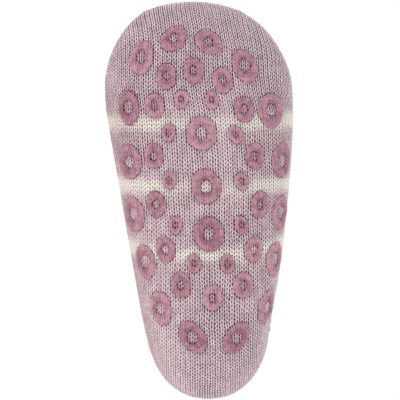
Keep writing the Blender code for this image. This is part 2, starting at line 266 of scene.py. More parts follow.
def fine_surface():
    """The whole outside: points, outward normals, girths, and how far aside each point is."""
    rows = smooth_rows(section_rows(), FINE)
    made = [section(row, FINE_ROUND) for row in rows]
    grid = np.array([m[0] for m in made])
    girth = np.array([m[1] for m in made])
    aside = np.array([m[2] for m in made])
    along = np.gradient(grid, axis=0)
    padded = np.concatenate([grid[:, -1:], grid, grid[:, :1]], axis=1)
    around = (padded[:, 2:] - padded[:, :-2]) / 2
    normal = np.cross(around, along)
    normal /= np.maximum(np.linalg.norm(normal, axis=2, keepdims=True), 1e-12)
    other = (FINE_ROUND // 2 - np.arange(FINE_ROUND)) % FINE_ROUND
    for k in range(BLUNT_ROWS):
        blunt = normal[BLUNT_ROWS] + normal[BLUNT_ROWS][other]
        blunt /= np.linalg.norm(blunt, axis=1, keepdims=True)
        share = k / BLUNT_ROWS
        mixed = blunt * (1 - share) + normal[BLUNT_ROWS] * share
        normal[k] = mixed / np.linalg.norm(mixed, axis=1, keepdims=True)
    middle = grid.mean(axis=1, keepdims=True)
    if np.sum((grid - middle) * normal) < 0:
        normal = -normal
    return grid, normal, girth, aside


GRID, NORMAL, GIRTH, ASIDE = fine_surface()
LAST_ROW = len(GRID) - 1.001
# Arc length from the toe at every place, along the middle of the sole and along the instep
STEP = np.linalg.norm(np.diff(GRID, axis=0), axis=2)
RUN = np.vstack([np.zeros(FINE_ROUND), np.cumsum(STEP, axis=0)])
SOLE_RUN = RUN[:, 0]
FRONT_RUN = RUN[:, FINE_ROUND // 2]
HEEL_RUN = SOLE_RUN[HEEL_END] - SOLE_RUN[FOOT_END]
# Height of the floor under the tilted sock, with its flat spots pressed in
TILTED = GRID[:, :, 0] * math.sin(REST_LEAN) + GRID[:, :, 1] * math.cos(REST_LEAN)
LEVEL = float(TILTED.min()) + REST_FLAT


def sample(field, p, q):
    """Bilinear values of a fine field at rows p and turns q, both arrays."""
    p = np.clip(p, 0, field.shape[0] - 1.0001)
    q = np.mod(q, FINE_ROUND)
    i = p.astype(int)
    j = q.astype(int)
    jn = (j + 1) % FINE_ROUND
    a = p - i
    b = q - j
    if field.ndim == 3:
        a = a[..., None]
        b = b[..., None]
    near = field[i, j] * (1 - b) + field[i, jn] * b
    far = field[i + 1, j] * (1 - b) + field[i + 1, jn] * b
    return near * (1 - a) + far * a


def lay_down(points, keep):
    """The points on their side and leaning, with none lower than keep."""
    x = -(points[..., 0] * math.cos(REST_LEAN) - points[..., 1] * math.sin(REST_LEAN))
    z = points[..., 0] * math.sin(REST_LEAN) + points[..., 1] * math.cos(REST_LEAN) - LEVEL
    z = np.maximum(z, keep)
    return np.stack([x, points[..., 2], z], axis=-1)


# The solid's box tells where its middle was moved to.
low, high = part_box("knitted_sock")
PLAIN = lay_down(GRID, 0.0)
CENTRE = np.array([
    (low[0] + high[0]) / 2 - (PLAIN[..., 0].min() + PLAIN[..., 0].max()) / 2,
    high[1] - SOCK_HEIGHT,
    0.0,
])


def place(points, keep=0.00002):
    """The points where they lie in the frame."""
    return lay_down(points, keep) + CENTRE


def smooth_step(x, low_edge, high_edge):
    """From 0 at the low edge to 1 at the high edge, with no corner at either."""
    t = np.clip((x - low_edge) / (high_edge - low_edge), 0, 1)
    return t * t * (3 - 2 * t)


def noise_of(a, b, seed):
    """A steady value from 0 to 1 for each pair of whole numbers."""
    v = np.sin(a * 12.9898 + b * 78.233 + seed * 37.719) * 43758.5453
    return v - np.floor(v)


def soft_noise(a, b, seed):
    """Smooth noise from 0 to 1 over two coordinates."""
    i = np.floor(a)
    j = np.floor(b)
    s = smooth_step(a - i, 0, 1)
    t = smooth_step(b - j, 0, 1)
    top = noise_of(i, j, seed) * (1 - s) + noise_of(i + 1, j, seed) * s
    base = noise_of(i, j + 1, seed) * (1 - s) + noise_of(i + 1, j + 1, seed) * s
    return top * (1 - t) + base * t


# Courses that a row of stitches lags behind at the foot's outer and inner side
OUTER_BOW = 1.6
INNER_BOW = 0.9
# The knit is drawn over in front of this share of the sole: slopes at the inner and outer side,
# the run in which the slope sets in, and the courses that the outer side then lags behind
LEAN_START = 0.70
INNER_SLOPE = 0.12
OUTER_SLOPE = 0.32
LEAN_EASE = 0.010
LEAN_LAG = 1.4
# How fully the wales run straight under the heel and under the toe
STRAIGHT_HEEL = 0.8
STRAIGHT_TOE = 0.7


def course_bow(p, q):
    """How many courses a row of stitches lags behind at the sides of the foot."""
    aside = sample(ASIDE, p, q)
    bow = np.where(aside > 0, OUTER_BOW, INNER_BOW) * aside**2
    bow = bow * smooth_step(p, 3 * FINE, BALL_ROW)
    return bow * (1 - smooth_step(p, FOOT_END, FOOT_END + 3 * FINE))


def toe_lean(p, q):
    """By how many wales and courses the knit is drawn over in front, where the foot turns in."""
    forward, side = np.moveaxis(sample(GRID, p, q)[..., :2], -1, 0)
    side = side / BALL_WIDTH
    ahead = np.maximum(forward - LEAN_START * SOLE_LENGTH, 0.0)
    slope = INNER_SLOPE + (OUTER_SLOPE - INNER_SLOPE) * smooth_step(side, -0.30, 0.50)
    lean = ahead**2 / (ahead + LEAN_EASE) * slope / GIRTH[BALL_ROW] * WALES
    lag = LEAN_LAG * smooth_step(side, 0.0, 0.5) * smooth_step(ahead, 0.002, 0.028)
    return lean, lag


def straight_wales(p, q):
    """Wale coordinates that run straight back from the end of the foot, under the heel."""
    turn = np.arange(-QUARTER, QUARTER + 1)
    across = sample(GRID, p, q)[..., 1]
    return np.interp(across, GRID[FOOT_END, turn, 1], turn * WALES / FINE_ROUND)


def heel_courses(p, q, sole_side):
    """Courses counted from the end of the foot: every stitch keeps its size, so the sides of the
    heel take fewer courses than its back, and the front of the ankle has a few even ones."""
    start = np.full(p.shape, float(FOOT_END))
    local = (sample(RUN, p, q) - sample(RUN, start, q)) / HEEL_RUN * HEEL_COURSES
    if sole_side:
        return local
    part = (FRONT_RUN - FRONT_RUN[FOOT_END]) / (FRONT_RUN[HEEL_END] - FRONT_RUN[FOOT_END])
    even = np.interp(p, np.arange(len(part)), part) * FRONT_COURSES
    front = 1 - smooth_step(np.abs(q / FINE_ROUND - 0.5), 0.0, 0.25)
    return local + (even - local) * front


def knit_places(p, q, zone, sole_side):
    """Wale and course coordinates at rows p and turns q of one zone of the knit."""
    girth = np.interp(p, np.arange(len(GIRTH)), GIRTH)
    scale = np.where(p < BALL_ROW, np.minimum(girth / GIRTH[BALL_ROW], 1.0), 1.0)
    share = q / FINE_ROUND
    wale = (share * scale if sole_side else 0.5 + (share - 0.5) * scale) * WALES
    if zone == "heel" and sole_side:
        # The wales run straight on under the heel instead of closing up with its sides.
        keep = smooth_step(p, FOOT_END, FOOT_END + 1.5 * FINE)
        keep = keep * (1 - smooth_step(p, HEEL_END - 3.5 * FINE, HEEL_END))
        keep = STRAIGHT_HEEL * keep * (1 - smooth_step(np.abs(q) / QUARTER, 0.30, 1.0))
        wale = wale + (straight_wales(p, q) - wale) * keep
    lag = 0.0
    if zone == "foot" and sole_side:
        # Toward the toe the wales also run straight on, and end along its side.
        straight = sample(GRID, p, q)[..., 1] / GIRTH[BALL_ROW] * WALES
        wale = wale + (straight - wale) * STRAIGHT_TOE * (1 - smooth_step(p, 4 * FINE, BALL_ROW))
        lean, lag = toe_lean(p, q)
        wale = wale + lean
    rows = np.arange(len(SOLE_RUN))
    end = SOLE_RUN[FOOT_END] / COURSE
    if zone == "foot":
        course = np.interp(p, rows, SOLE_RUN) / COURSE + lag
    elif zone == "heel":
        course = end + heel_courses(p, q, sole_side)
    else:
        course = end + HEEL_COURSES + (np.interp(p, rows, SOLE_RUN) - SOLE_RUN[HEEL_END]) / COURSE
    return wale, -(course + course_bow(p, q))


def uneven_knit(wale, course):
    """The same coordinates with the small shifts of a real knit, and the slower of the two shifts."""
    drift = soft_noise(wale * 0.22, course * 0.16, 1) - 0.5
    quick = soft_noise(wale * 0.9, course * 0.6, 2) - 0.5
    return wale + 0.25 * drift + 0.16 * quick, course + 0.5 * drift + 0.25 * quick, drift


# A stitch in shares of its width and height: where a leg starts beside the middle and how far it
# spreads, half the width of the yarn, what looseness takes off it, and how far stitches overlap
LEG_START = 0.085
LEG_SPREAD = 0.300
LEG_SHUT = 0.218
LEG_LOOSE = 0.052
LEG_OVER = 0.22


def stitch(wale, course, loose):
    """Height from 0 to 1 of the two slanted yarn legs of each stitch."""
    x = np.abs(np.mod(wale, 1.0) - 0.5)
    y = np.mod(course, 1.0)
    reach = LEG_SHUT - LEG_LOOSE * loose
    best = np.zeros_like(x)
    for k in (-1, 0, 1):
        t = np.clip((y - k + LEG_OVER) / (1 + 2 * LEG_OVER), 0, 1)
        away = (x - LEG_START - LEG_SPREAD * t) / reach
        ends = 1 - np.abs(2 * t - 1) ** 4
        best = np.maximum(best, np.sqrt(np.clip(1 - away**2, 0, 1)) * ends)
    return best


def ring_frame(along, across):
    """Row, turn and the inverse step matrix at a ring's middle."""
    want = np.array([along * SOLE_LENGTH, across * BALL_WIDTH])
    turns = np.arange(-QUARTER, QUARTER + 1) % FINE_ROUND
    sole = GRID[:HEEL_END, turns]
    gap = (sole[:, :, 0] - want[0]) ** 2 + (sole[:, :, 1] - want[1]) ** 2
    gap = gap + np.where(sole[:, :, 2] > 0.5 * INSTEP_HEIGHT, 1.0, 0.0)
    near = np.unravel_index(np.argmin(gap), gap.shape)
    p = float(near[0])
    q = float(near[1] - QUARTER)

    def at(pp, qq):
        return sample(GRID, np.array([pp]), np.array([qq]))[0]

    for _ in range(4):
        step_p = (at(p + 1, q) - at(p - 1, q))[:2] / 2
        step_q = (at(p, q + 1) - at(p, q - 1))[:2] / 2
        move = np.linalg.solve(np.array([step_p, step_q]).T, want - at(p, q)[:2])
        p += float(move[0])
        q += float(move[1])
    out = sample(NORMAL, np.array([p]), np.array([q]))[0]
    out /= np.linalg.norm(out)
    step_q = (at(p, q + 1) - at(p, q - 1)) / 2
    step_p = (at(p + 1, q) - at(p - 1, q)) / 2
    ahead = np.array([1.0, 0.0, 0.0]) - out * out[0]
    ahead /= np.linalg.norm(ahead)
    aside = step_q - ahead * np.dot(step_q, ahead)
    aside /= np.linalg.norm(aside)
    turn_in = np.array([
        [np.dot(step_q, aside), np.dot(step_p, aside)],
        [np.dot(step_q, ahead), np.dot(step_p, ahead)],
    ])
    return p, q, np.linalg.inv(turn_in), at(p, q), aside, ahead, out


RINGS = [(row, ring_frame(row[1], row[2])) for row in GRIP_ROWS]


def hole_size(size):
    """Width and length of the hole that the print leaves open."""
    wide, long, hole = RING_SIZES[size]
    across, along = LIP[size]
    return hole * across, hole * (0.3 + 0.7 * long / wide) * along


# The yarn is drawn open beside a ring, to this far off its edge, and less inside its hole
OPEN_FROM = 0.0002
OPEN_TO = 0.0011
HOLE_OPEN = 0.30
HOLE_EDGE_OPEN = 0.40
# What the print leaves on the knit under the ring itself
UNDER_FILM = 0.25


def ring_nearness(points):
    """How near each point of the sole is to a ring's edge, whether it is under a ring, and how
    much print is on the yarn."""
    near = np.zeros(points.shape[:-1])
    under = np.zeros(points.shape[:-1])
    film = np.zeros(points.shape[:-1])
    for (size, _, _, turn), (_, _, _, middle, aside, ahead, _) in RINGS:
        wide, long, _ = RING_SIZES[size]
        hole, hole_long = hole_size(size)
        rel = points - middle
        close = np.sum(rel**2, axis=-1) < (0.9 * long) ** 2
        if not close.any():
            continue
        r = rel[close]
        spin = math.radians(turn)
        x = r @ aside
        y = r @ ahead
        a = x * math.cos(spin) - y * math.sin(spin)
        b = x * math.sin(spin) + y * math.cos(spin)
        outer = np.sqrt((a / (wide / 2)) ** 2 + (b / (long / 2)) ** 2)
        inner = np.sqrt((a / (hole / 2)) ** 2 + (b / (hole_long / 2)) ** 2)
        off_out = (outer - 1) * wide / 2
        off_in = (1 - inner) * hole / 2
        off = np.where(outer > 1, off_out, np.where(inner < 1, off_in, 0.0))
        beside = 1 - smooth_step(off, OPEN_FROM, OPEN_TO)
        beside = np.where(inner < 1, HOLE_OPEN + HOLE_EDGE_OPEN * beside, beside)
        near[close] = np.maximum(near[close], beside)
        covered = np.where((outer < 0.97) & (inner > 1.05), 1.0, 0.0)
        under[close] = np.maximum(under[close], covered)
        printed = np.where((outer < 0.98) & (inner > 1.05), 1.0, 0.0)
        thin = FILM[size] * (1 - smooth_step(inner, 0.75, 1.15)) + UNDER_FILM * printed
        film[close] = np.maximum(film[close], np.minimum(thin, 1.0))
    return near, under, film


def add_mesh(name, points, faces, fields=None, domain="POINT"):
    """A smooth mesh object, with a number for each point or face corner in each named field."""
    mesh = bpy.data.meshes.new(name)
    count = len(faces)
    sides = faces.shape[1]
    mesh.vertices.add(len(points))
    mesh.vertices.foreach_set("co", np.asarray(points, np.float32).ravel())
    mesh.loops.add(count * sides)
    mesh.loops.foreach_set("vertex_index", np.asarray(faces, np.int32).ravel())
    mesh.polygons.add(count)
    mesh.polygons.foreach_set("loop_start", np.arange(0, count * sides, sides, dtype=np.int32))
    mesh.polygons.foreach_set("use_smooth", np.full(count, True))
    mesh.update(calc_edges=True)
    for key, values in (fields or {}).items():
        layer = mesh.attributes.new(key, "FLOAT", domain)
        layer.data.foreach_set("value", np.asarray(values, np.float32).ravel())
    obj = bpy.data.objects.new(name, mesh)
    bpy.context.scene.collection.objects.link(obj)
    return obj


def grid_faces(rows, columns):
    """Faces between rows of points that each close in a loop."""
    i = np.arange(rows - 1)[:, None]
    j = np.arange(columns)[None, :]
    jn = (j + 1) % columns
    a = i * columns + j
    b = i * columns + jn
    c = (i + 1) * columns + jn
    d = (i + 1) * columns + j
    return np.stack([a + 0 * j, d, c, b], axis=-1).reshape(-1, 4)


def row_places(first, last, spacing):
    """Rows evenly spaced along the sole or the back of the leg."""
    rows = np.arange(len(SOLE_RUN))
    start = np.interp(first, rows, SOLE_RUN)
    end = np.interp(last, rows, SOLE_RUN)
    count = max(2, int(round((end - start) / spacing)) + 1)
    return np.interp(np.linspace(start, end, count), SOLE_RUN, rows)


STRIPE_RAGGED = 0.0016    # how unsteady the edge of a stripe is
STRIPE_WIDER = 0.28       # how much wider a stripe is at the sides of the foot
STRIPE_FADE = (0.0014, 0.0026)    # it fades from so far inside its edge to so far outside


def stripe_share(p, q, wale, bow):
    """How cream the yarn is at a place of the foot."""
    along = GRID[: FOOT_END + 4 * FINE, 0, 0] / SOLE_LENGTH
    run = sample(RUN, p, q) + bow * COURSE
    share = np.zeros_like(run)
    ragged = (soft_noise(wale * 0.6, run / COURSE * 0.9, 5) - 0.5) * STRIPE_RAGGED
    # Under the middle of the foot the stretched stripes look thinner.
    aside = smooth_step(np.abs(sample(GRID, p, q)[..., 1]) / BALL_WIDTH, 0.10, 0.40)
    for middle, half, faint in STRIPES:
        row = np.interp(-middle, -along, np.arange(len(along)))
        off = np.abs(run - sample(RUN, np.full(p.shape, row), q)) + ragged
        reach = half * SOLE_LENGTH / 2 * (1 + STRIPE_WIDER * aside)
        cream = 1 - smooth_step(off, reach - STRIPE_FADE[0], reach + STRIPE_FADE[1])
        share = np.maximum(share, cream * (1 - faint * (1 - aside)))
    return share


LOOSE_PLAIN = 0.44        # looseness of the knit before anything draws it open or shut
RELIEF_LEVEL = 0.58       # height of a stitch that lies level with the smooth foot
UNDER_RING = 0.00035      # how far the knit is pressed in under a ring
MEET_LEVEL = 0.8          # height at which the stitches of sole and instep meet beside the toe
MEET_CELLS = 3.0          # cells of the mesh in which they come to it
SEAM_ROW = 2.1 * FINE
SEAM_WIDTH = 0.28 * FINE
SEAM_HEIGHT = 0.0004


def looseness(base, out, near, drift):
    """How far the stitches are drawn open, from 0 to 1."""
    forward = base[..., 0] / SOLE_LENGTH
    side = base[..., 1] / BALL_WIDTH
    sole = smooth_step(-out[..., 2], -0.1, 0.7)
    # The back half of the sole is stretched, and its outer side most.
    behind = smooth_step(0.52 - forward, 0, 0.15)
    loose = LOOSE_PLAIN + 0.18 * sole * behind * smooth_step(side, -0.25, 0.0)
    # So are the outer side, all along, and the front half.
    loose = loose + 0.14 * smooth_step(side, 0.15, 0.42) + 0.12 * smooth_step(forward, 0.52, 0.62)
    # The inner side behind the ball stays shut.
    shut = smooth_step(-side, 0.12, 0.42) * smooth_step(0.70 - forward, 0, 0.2)
    loose = loose * (1 - 0.85 * shut * (0.5 + 0.5 * smooth_step(forward, 0.10, 0.35)))
    # Both sides of the ball and the toe are stretched.
    loose = loose + 0.18 * smooth_step(forward, 0.48, 0.66) * smooth_step(np.abs(side), 0.18, 0.40)
    loose = loose + 0.12 * smooth_step(forward, 0.74, 0.90)
    return np.clip(loose + 0.34 * near + 0.5 * drift, 0, 1)


def toe_seam(p, q):
    """The ridge over the toe where the tube is closed, on the instep side."""
    ridge = np.exp(-(((p - SEAM_ROW) / SEAM_WIDTH) ** 2))
    return ridge * smooth_step(-np.cos(2 * math.pi * q / FINE_ROUND), 0.05, 0.8)


def knit_half(p_line, q_line, zone, sole_side):
    """Points, normals, lifts and fields of the sole's or the instep's half of one zone."""
    p, q = np.meshgrid(p_line, q_line, indexing="ij")
    base = sample(GRID, p, q)
    out = sample(NORMAL, p, q)
    out /= np.linalg.norm(out, axis=-1, keepdims=True)
    wale, course = knit_places(p, q, zone, sole_side)
    near, under, film = ring_nearness(base)
    stripe = np.zeros_like(wale) if zone == "leg" else stripe_share(p, q, wale, course_bow(p, q))
    wale, course, drift = uneven_knit(wale, course)
    loose = looseness(base, out, near, drift)
    relief = stitch(wale, course, loose)
    # Where the stitches of sole and instep meet along the side of the toe, both even out.
    edge = np.minimum(q - q_line[0], q_line[-1] - q) / (q_line[1] - q_line[0])
    meet = 1 - smooth_step(edge, 0.0, MEET_CELLS)
    meet = meet * (1 - smooth_step(p, BALL_ROW - FINE, BALL_ROW))
    relief = relief + (MEET_LEVEL - relief) * meet
    seam = toe_seam(p, q) * SEAM_HEIGHT * (0.75 + 0.25 * relief)
    lift = (relief - RELIEF_LEVEL) * STITCH_DEPTH - under * UNDER_RING + seam
    rise = base[..., 2]
    rib = np.zeros_like(rise)
    if zone == "leg":
        cuff_start = SOCK_HEIGHT - CUFF_HEIGHT
        rib = smooth_step(rise, cuff_start, cuff_start + STEP_RUN)
    furrow = 0.5 + 0.5 * np.cos(math.pi * wale)
    lift = lift + rib * (CUFF_STEP - furrow**1.5 * RIB_DEPTH)
    fields = {
        "wale": wale,
        "course": course,
        "loose": loose,
        "stripe": stripe,
        "near": near,
        "film": film,
        # the rib's furrows, the mask for painted shade in them
        "furrow": rib * furrow,
    }
    return base, out, lift, fields


def knit_piece(name, zone, first, last, spacing, low_count, high_count):
    """One zone of the knit, closed round the foot."""
    p_line = row_places(first, last, spacing)
    rows = len(p_line)
    low_line = np.linspace(-QUARTER, QUARTER, low_count + 1)
    high_line = np.linspace(QUARTER, 3 * QUARTER, high_count + 1)
    low = knit_half(p_line, low_line, zone, True)
    high = knit_half(p_line, high_line, zone, False)
    for a, b in ((0, -1), (-1, 0)):
        shared = (low[2][:, a] + high[2][:, b]) / 2
        low[2][:, a] = shared
        high[2][:, b] = shared
    base, out, lift = [np.concatenate([low[k][:, :-1], high[k][:, :-1]], axis=1) for k in (0, 1, 2)]
    points = place(base + out * lift[..., None])
    count = low_count + high_count
    faces = []
    corners = {key: [] for key in low[3]}
    for part, start, columns in ((low, 0, low_count), (high, low_count, high_count)):
        i = np.arange(rows - 1)[:, None]
        j = np.arange(columns)[None, :]
        square = ((i, j), (i + 1, j), (i + 1, j + 1), (i, j + 1))
        quads = [a * count + (start + b) % count for a, b in square]
        faces.append(np.stack(quads, axis=-1).reshape(-1, 4))
        for key in corners:
            values = part[3][key]
            at_corners = [values[a + 0 * j, b + 0 * i] for a, b in square]
            corners[key].append(np.stack(at_corners, axis=-1).ravel())
    fields = {key: np.concatenate(values) for key, values in corners.items()}
    obj = add_mesh(name, points.reshape(-1, 3), np.concatenate(faces), fields, "CORNER")
    obj.data.materials.append(KNIT)
    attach(obj, "root")
    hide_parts("knitted_sock")


def nodes_of(name):
    """A new material, its nodes and its shader."""
    mat = bpy.data.materials.new(name)
    mat.use_nodes = True
    tree = mat.node_tree
    return mat, tree, tree.nodes["Principled BSDF"]


def link(tree, a, b):
    tree.links.new(a, b)


def attribute(tree, name):
    node = tree.nodes.new("ShaderNodeAttribute")
    node.attribute_name = name
    return node.outputs["Fac"]


def math_node(tree, kind, a, b=None, clamp=False):
    node = tree.nodes.new("ShaderNodeMath")
    node.operation = kind
    node.use_clamp = clamp
    for k, value in enumerate((a, b)):
        if value is None:
            continue
        if isinstance(value, (int, float)):
            node.inputs[k].default_value = value
        else:
            link(tree, value, node.inputs[k])
    return node.outputs[0]


def times(tree, a, b, clamp=False):
    return math_node(tree, "MULTIPLY", a, b, clamp)


def blend(tree, *parts):
    """The sum of several values, each times its weight."""
    total = None
    for value, weight in parts:
        part = times(tree, value, weight)
        total = part if total is None else math_node(tree, "ADD", total, part)
    return total


def bump(tree, shader, height):
    node = tree.nodes.new("ShaderNodeBump")
    node.inputs["Strength"].default_value = 0.5
    node.inputs["Distance"].default_value = 0.0002
    link(tree, height, node.inputs["Height"])
    link(tree, node.outputs["Normal"], shader.inputs["Normal"])


def remap(tree, value, a, b, c=0.0, d=1.0):
    node = tree.nodes.new("ShaderNodeMapRange")
    node.interpolation_type = "SMOOTHSTEP"
    link(tree, value, node.inputs["Value"])
    for key, number in (("From Min", a), ("From Max", b), ("To Min", c), ("To Max", d)):
        if isinstance(number, (int, float)):
            node.inputs[key].default_value = number
        else:
            link(tree, number, node.inputs[key])
    return node.outputs["Result"]


def mix(tree, share, a, b):
    node = tree.nodes.new("ShaderNodeMix")
    node.data_type = "RGBA"
    for key, value in ((0, share), (6, a), (7, b)):
        if isinstance(value, (int, float)):
            node.inputs[key].default_value = value
        elif isinstance(value, tuple):
            node.inputs[key].default_value = (*value, 1.0)
        else:
            link(tree, value, node.inputs[key])
    return node.outputs[2]


def noise(tree, scale, detail, rough):
    coord = tree.nodes.new("ShaderNodeTexCoord")
    node = tree.nodes.new("ShaderNodeTexNoise")
    node.inputs["Scale"].default_value = scale
    node.inputs["Detail"].default_value = detail
    node.inputs["Roughness"].default_value = rough
    link(tree, coord.outputs["Object"], node.inputs["Vector"])
    return node.outputs["Fac"]


def stitch_nodes(tree, wale, course, loose):
    """The same stitch shape as stitch() above, worked out by the shader."""
    half = math_node(tree, "SUBTRACT", math_node(tree, "FRACT", wale), 0.5)
    x = math_node(tree, "ABSOLUTE", half)
    y = math_node(tree, "FRACT", course)
    reach = math_node(tree, "SUBTRACT", LEG_SHUT, times(tree, loose, LEG_LOOSE))
    best = None
    for k in (-1, 0, 1):
        shifted = math_node(tree, "SUBTRACT", y, k - LEG_OVER)
        t = math_node(tree, "DIVIDE", shifted, 1 + 2 * LEG_OVER, True)
        centre = math_node(tree, "ADD", times(tree, t, LEG_SPREAD), LEG_START)
        away = math_node(tree, "DIVIDE", math_node(tree, "SUBTRACT", x, centre), reach)
        dome = math_node(tree, "SUBTRACT", 1.0, times(tree, away, away), True)
        dome = math_node(tree, "SQRT", dome)
        swing = math_node(tree, "SUBTRACT", times(tree, t, 2.0), 1.0)
        swing = math_node(tree, "ABSOLUTE", swing)
        ends = math_node(tree, "SUBTRACT", 1.0, math_node(tree, "POWER", swing, 4.0))
        leg = times(tree, dome, ends)
        best = leg if best is None else math_node(tree, "MAXIMUM", best, leg)
    return best, half


def whole_noise(tree, *parts):
    """A steady random value for each set of whole numbers."""
    join = tree.nodes.new("ShaderNodeCombineXYZ")
    for k, value in enumerate(parts):
        if isinstance(value, (int, float)):
            join.inputs[k].default_value = value
        else:
            link(tree, value, join.inputs[k])
    node = tree.nodes.new("ShaderNodeTexWhiteNoise")
    node.noise_dimensions = "3D"
    link(tree, join.outputs[0], node.inputs["Vector"])
    return node.outputs["Value"]


def knit_material():
    """Marl yarn in stitches, with painted shade on the yarn flanks, between its plies and in the dark
    gaps, a painted highlight on the crests, painted shade in the cuff's rib furrows, cream stripes, and
    thin print beside the rings.
    """
    mat, tree, shader = nodes_of("marl_knit")
    wale = attribute(tree, "wale")
    course = attribute(tree, "course")
    loose = attribute(tree, "loose")
    stripe = attribute(tree, "stripe")
    near = attribute(tree, "near")
    film = attribute(tree, "film")
    furrow = attribute(tree, "furrow")
    height, half = stitch_nodes(tree, wale, course, loose)
    column = math_node(tree, "FLOOR", wale)
    row = math_node(tree, "FLOOR", course)
    leg = math_node(tree, "GREATER_THAN", half, 0.0)
    single = whole_noise(tree, column, row, leg)
    run = whole_noise(tree, column, math_node(tree, "FLOOR", times(tree, course, 0.27)), 7.0)
    chance = whole_noise(tree, column, row, 3.0)
    fleck = remap(tree, noise(tree, 1500.0, 3.0, 0.6), 0.34, 0.66)
    cloud = remap(tree, noise(tree, 260.0, 2.0, 0.5), 0.3, 0.7)
    marl = blend(tree, (single, 0.40), (run, 0.14), (fleck, 0.28), (cloud, 0.18))
    # The yarn's colour by stitch height: painted shade on its flanks and a painted highlight on its crest
    shade = mix(tree, marl, (0.235, 0.136, 0.163), (0.475, 0.343, 0.377))
    crest = mix(tree, marl, (0.52, 0.38, 0.41), (0.94, 0.80, 0.815))
    shut = times(tree, math_node(tree, "SUBTRACT", 1.0, loose, True), 0.48)
    shade = mix(tree, shut, shade, (0.56, 0.44, 0.465))
    cream = times(tree, stripe, 0.95)
    shade = mix(tree, cream, shade, (0.77, 0.715, 0.645))
    crest = mix(tree, cream, crest, (0.96, 0.915, 0.84))
    yarn = mix(tree, remap(tree, height, 0.45, 0.97), shade, crest)
    # The twist of its plies: darker bands along it are painted shade in the grooves between the plies
    turns = blend(tree, (course, 3.4 * 2 * math.pi), (wale, 4.0 * 2 * math.pi))
    ply = math_node(tree, "SINE", turns)
    ply_share = math_node(tree, "ADD", times(tree, ply, 0.5), 0.5)
    ply_groove_shade = mix(tree, 0.24, yarn, (0.22, 0.15, 0.17))
    yarn = mix(tree, ply_share, ply_groove_shade, yarn)
    # The gaps between the yarns, some wider than others: their dark colour is painted shade, deeper where
    # the knit is drawn open and beside the rings, paler in the cream stripes
    chance = times(tree, math_node(tree, "SUBTRACT", chance, 0.5), 0.6)
    open_gap = math_node(tree, "ADD", loose, chance, True)
    edge = math_node(tree, "ADD", times(tree, open_gap, 0.24), 0.04)
    shown = remap(tree, height, edge, math_node(tree, "ADD", edge, 0.34))
    depth = math_node(tree, "ADD", open_gap, times(tree, near, 0.35), True)
    gap = mix(tree, depth, (0.17, 0.092, 0.115), (0.072, 0.028, 0.040))
    gap = mix(tree, times(tree, stripe, 0.75), gap, (0.30, 0.26, 0.23))
    # Print run into the gaps: its own colour, darkened by painted shade
    gap = mix(tree, times(tree, film, 2.0, True), gap, (0.045, 0.008, 0.017))
    yarn = mix(tree, times(tree, film, 1.5, True), yarn, (0.42, 0.19, 0.255))
    colour = mix(tree, shown, gap, yarn)
    # Painted shade in the furrows of the cuff's rib
    colour = mix(tree, times(tree, furrow, 0.45), colour, (0.16, 0.10, 0.12))
    link(tree, colour, shader.inputs["Base Color"])
    shader.inputs["Roughness"].default_value = 0.92
    shader.inputs["Sheen Weight"].default_value = 0.85
    shader.inputs["Sheen Roughness"].default_value = 0.30
    shader.inputs["Sheen Tint"].default_value = (1.0, 0.95, 0.96, 1.0)
    shader.inputs["Specular IOR Level"].default_value = 0.2
    fibre = noise(tree, 5200.0, 2.0, 0.6)
    bump(tree, shader, blend(tree, (height, 1.0), (fibre, 0.35), (ply, 0.10)))
    return mat


def lining_material():
    """The reverse of the knit, duller and without its stripes, with painted shade in the hollows between
    its purl bumps.
    """
    mat, tree, shader = nodes_of("reverse_knit")
    relief = attribute(tree, "relief")
    fleck = remap(tree, noise(tree, 800.0, 3.0, 0.6), 0.3, 0.7)
    yarn = mix(tree, fleck, (0.46, 0.34, 0.37), (0.66, 0.55, 0.57))
    # Painted shade where the purl relief is low
    colour = mix(tree, remap(tree, relief, 0.1, 0.7), (0.20, 0.13, 0.15), yarn)
    link(tree, colour, shader.inputs["Base Color"])
    shader.inputs["Roughness"].default_value = 0.95
    shader.inputs["Sheen Weight"].default_value = 0.2
    return mat


def grip_material():
    """Printed rubber, paler toward its outer edge and on the yarns, with painted shade where its rim ends
    low in a gap between the yarns.
    """
    mat, tree, shader = nodes_of("printed_rubber")
    share = attribute(tree, "share")
    relief = attribute(tree, "relief")
    tone = attribute(tree, "tone")
    cloudy = remap(tree, noise(tree, 620.0, 3.0, 0.55), 0.3, 0.7)
    speck = remap(tree, noise(tree, 2300.0, 2.0, 0.5), 0.3, 0.7)
    pale = blend(tree, (share, 0.28), (cloudy, 0.36), (relief, 0.26), (speck, 0.22), (tone, 1.0))
    pale = remap(tree, pale, 0.18, 0.95)
    colour = mix(tree, pale, (0.235, 0.078, 0.124), (0.485, 0.266, 0.324))
    # Painted shade at the rims of the print where they lie low in a gap between the yarns
    rim = math_node(tree, "ABSOLUTE", math_node(tree, "SUBTRACT", share, 0.5))
    thin = times(tree, remap(tree, rim, 0.34, 0.49), remap(tree, relief, 0.75, 0.15))
    colour = mix(tree, times(tree, thin, 0.65), colour, (0.085, 0.020, 0.038))
    link(tree, colour, shader.inputs["Base Color"])
    link(tree, remap(tree, cloudy, 0.0, 1.0, 0.46, 0.30), shader.inputs["Roughness"])
    shader.inputs["Specular IOR Level"].default_value = 0.5
    shader.inputs["Subsurface Weight"].default_value = 0.15
    shader.inputs["Subsurface Radius"].default_value = (0.0010, 0.0005, 0.0005)
    shader.inputs["Subsurface Scale"].default_value = 1.0
    shader.inputs["Coat Weight"].default_value = 0.15
    shader.inputs["Coat Roughness"].default_value = 0.22
    bump(tree, shader, blend(tree, (cloudy, 1.0), (relief, 0.8), (speck, 0.3)))
    return mat


KNIT = knit_material()
LINING = lining_material()
RUBBER = grip_material()


LINING_COLUMNS = 192
LINING_SPACING = 0.0011
PURL_DEPTH = 0.0001


